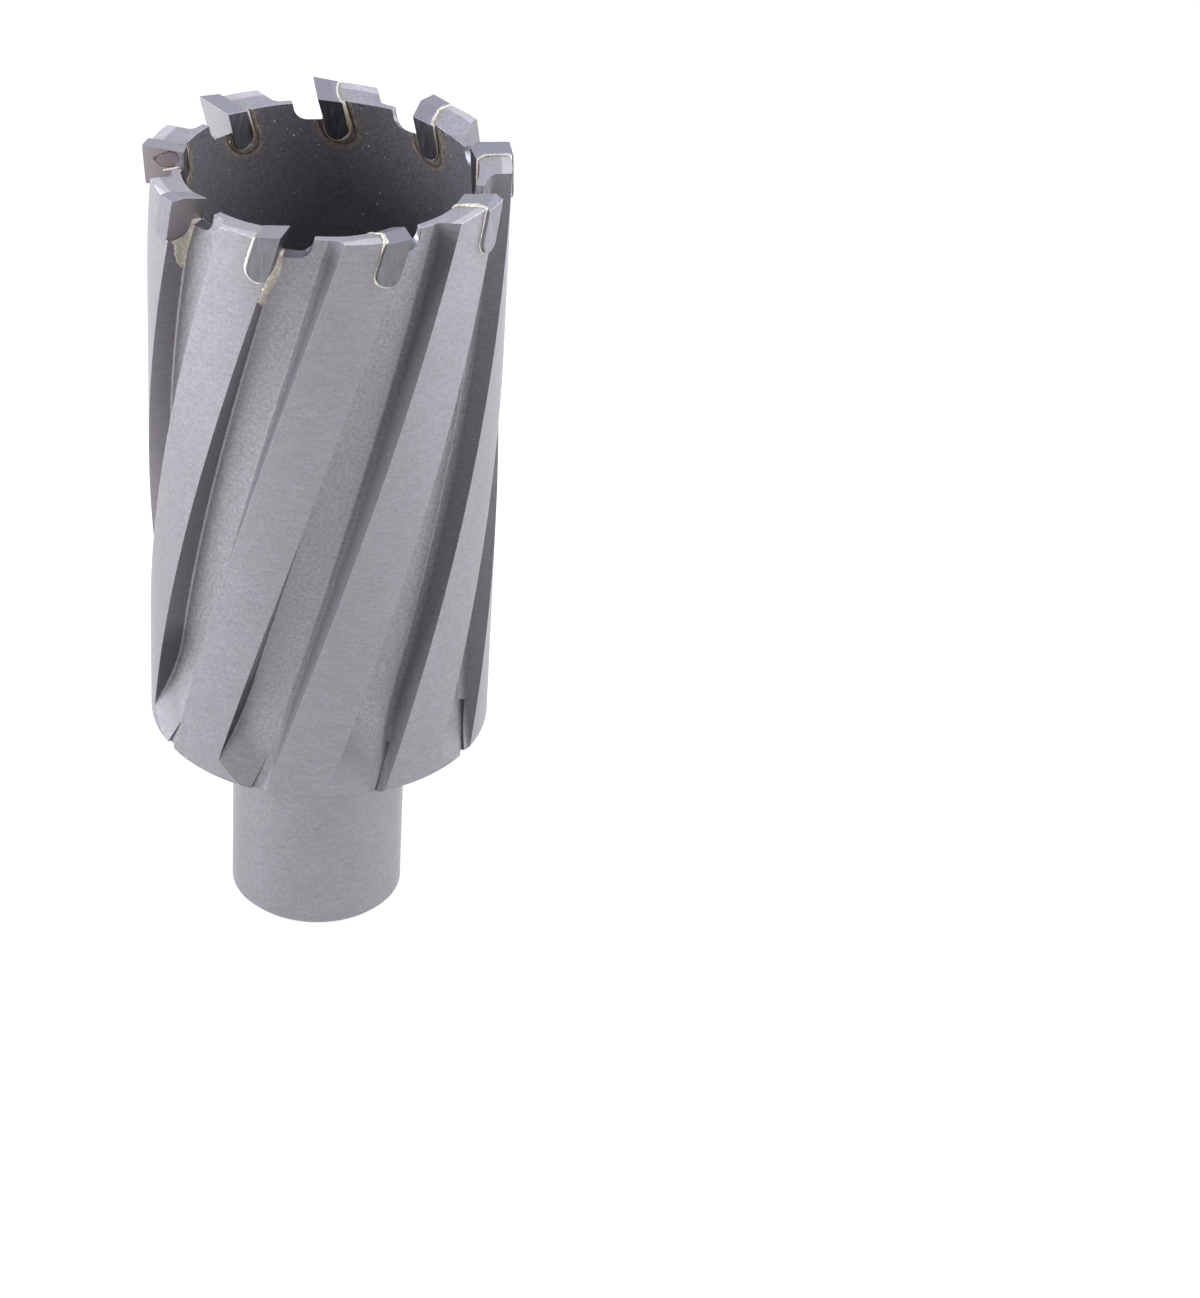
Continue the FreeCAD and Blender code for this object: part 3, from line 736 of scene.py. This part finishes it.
for number in range(1, tooth_count + 1):
    lay_beads(number)
puddle("braze_run_7", 7, [(87.35, 0.1, 0.3), (86.7, 0.12, 0.4), (86.0, 0.25, 0.6), (85.4, 0.9, 0.8),
                          (84.9, 1.9, 0.8), (84.2, 2.3, 0.65), (83.4, 2.3, 0.5), (82.6, 1.9, 0.3),
                          (81.9, 0.9, 0.2), (81.2, 0.1, 0.05)])
puddle("braze_run_8", 8, [(87.4, 0.15, 0.4), (86.9, 0.15, 0.5), (86.2, 0.3, 0.35), (85.6, 0.7, 0.35),
                          (85.0, 1.85, 0.35), (84.3, 1.6, 0.25), (83.5, 1.35, 0.2), (82.3, 1.0, 0.2),
                          (81.7, 0.6, 0.15), (81.2, 0.1, 0.05)])
crumb_row("braze_crumbs_9", 9)
puddle("braze_run_2", 2, [(87.3, 0.1, 0.2), (86.0, 0.2, 0.3), (85.1, 1.0, 0.4), (84.4, 0.9, 0.3),
                          (83.6, 0.2, 0.1), (83.2, 0.05, 0.04)])
puddle("braze_run_4", 4, [(87.2, 0.1, 0.2), (85.6, 0.3, 0.4), (84.8, 1.4, 0.5), (84.0, 1.2, 0.3),
                          (82.9, 0.4, 0.1), (82.5, 0.05, 0.04)])


def photo_camera():
    """Camera of the photograph, found from the known sizes."""
    frame_height_px = 1298
    focal_px = 3808.0
    elevation = math.radians(33.05)
    roll = math.radians(-3.82)
    place_mm = Vector((30.609, -349.482, 260.677))
    data = bpy.data.cameras.new("camera")
    data.sensor_fit = "AUTO"
    data.sensor_width = 36.0
    data.lens = focal_px / frame_height_px * data.sensor_width
    data.clip_start = 0.01
    data.clip_end = 20.0
    camera = bpy.data.objects.new("camera", data)
    bpy.context.scene.collection.objects.link(camera)
    look = Vector((0.0, math.cos(elevation), -math.sin(elevation)))
    level = Vector((1.0, 0.0, 0.0))
    down = look.cross(level)
    right = level * math.cos(roll) + down * math.sin(roll)
    lower = down * math.cos(roll) - level * math.sin(roll)
    turn = Matrix((right, -lower, -look)).transposed()
    camera.matrix_world = Matrix.Translation(place_mm * mm) @ turn.to_4x4()
    bpy.context.scene.camera = camera


def studio_floor():
    """White paper floor: it shows as white and keeps the shadow of the cutter."""
    material, tree = new_material("white_paper_floor")
    paper = add(tree, "ShaderNodeBsdfDiffuse", {"Color": linear("#7c7c7c"), "Roughness": 0.0})
    glow = add(tree, "ShaderNodeEmission", {"Color": linear("#ffffff"), "Strength": 0.8})
    lit = add(tree, "ShaderNodeAddShader", {0: paper, 1: glow})
    plain = add(tree, "ShaderNodeBsdfDiffuse", {"Color": linear("#e4e4e4"), "Roughness": 0.0})
    shader = add(tree, "ShaderNodeMixShader", {0: seen_directly(tree), 1: plain, 2: lit})
    finish_material(tree, shader)
    mesh = bpy.data.meshes.new("floor")
    reach = 3.0
    mesh.from_pydata([(-reach, -reach, 0.0), (reach, -reach, 0.0), (reach, reach, 0.0),
                      (-reach, reach, 0.0)], [], [(0, 1, 2, 3)])
    mesh.materials.append(material)
    floor = bpy.data.objects.new("floor", mesh)
    bpy.context.scene.collection.objects.link(floor)


def studio_air():
    """White surroundings: full white where they are seen, half as strong as a light."""
    world = bpy.data.worlds.new("studio")
    bpy.context.scene.world = world
    world.use_nodes = True
    tree = world.node_tree
    tree.nodes.clear()
    strength = add(tree, "ShaderNodeMapRange", {0: seen_directly(tree), 1: 0.0, 2: 1.0, 3: 0.5, 4: 1.0})
    backdrop = add(tree, "ShaderNodeBackground", {"Color": linear("#ffffff"), "Strength": strength})
    sky = tree.nodes.new("ShaderNodeOutputWorld")
    tree.links.new(backdrop, sky.inputs["Surface"])


def softbox(name, place, aim, width, height, power):
    """An area lamp, in metres and watts."""
    lamp = bpy.data.lights.new(name, "AREA")
    lamp.shape = "RECTANGLE"
    lamp.size = width
    lamp.size_y = height
    lamp.energy = power
    box = bpy.data.objects.new(name, lamp)
    bpy.context.scene.collection.objects.link(box)
    box.location = place
    box.rotation_euler = (Vector(aim) - Vector(place)).to_track_quat("-Z", "Y").to_euler()


photo_camera()
studio_floor()
studio_air()
softbox("left_softbox", (-0.55, -0.1, 0.15), (0.0, 0.0, 0.06), 0.8, 0.5, 12.5)
softbox("right_softbox", (0.6, 0.05, 0.27), (0.0, 0.0, 0.08), 0.9, 0.6, 12.0)

bpy.context.scene.view_settings.view_transform = "Standard"
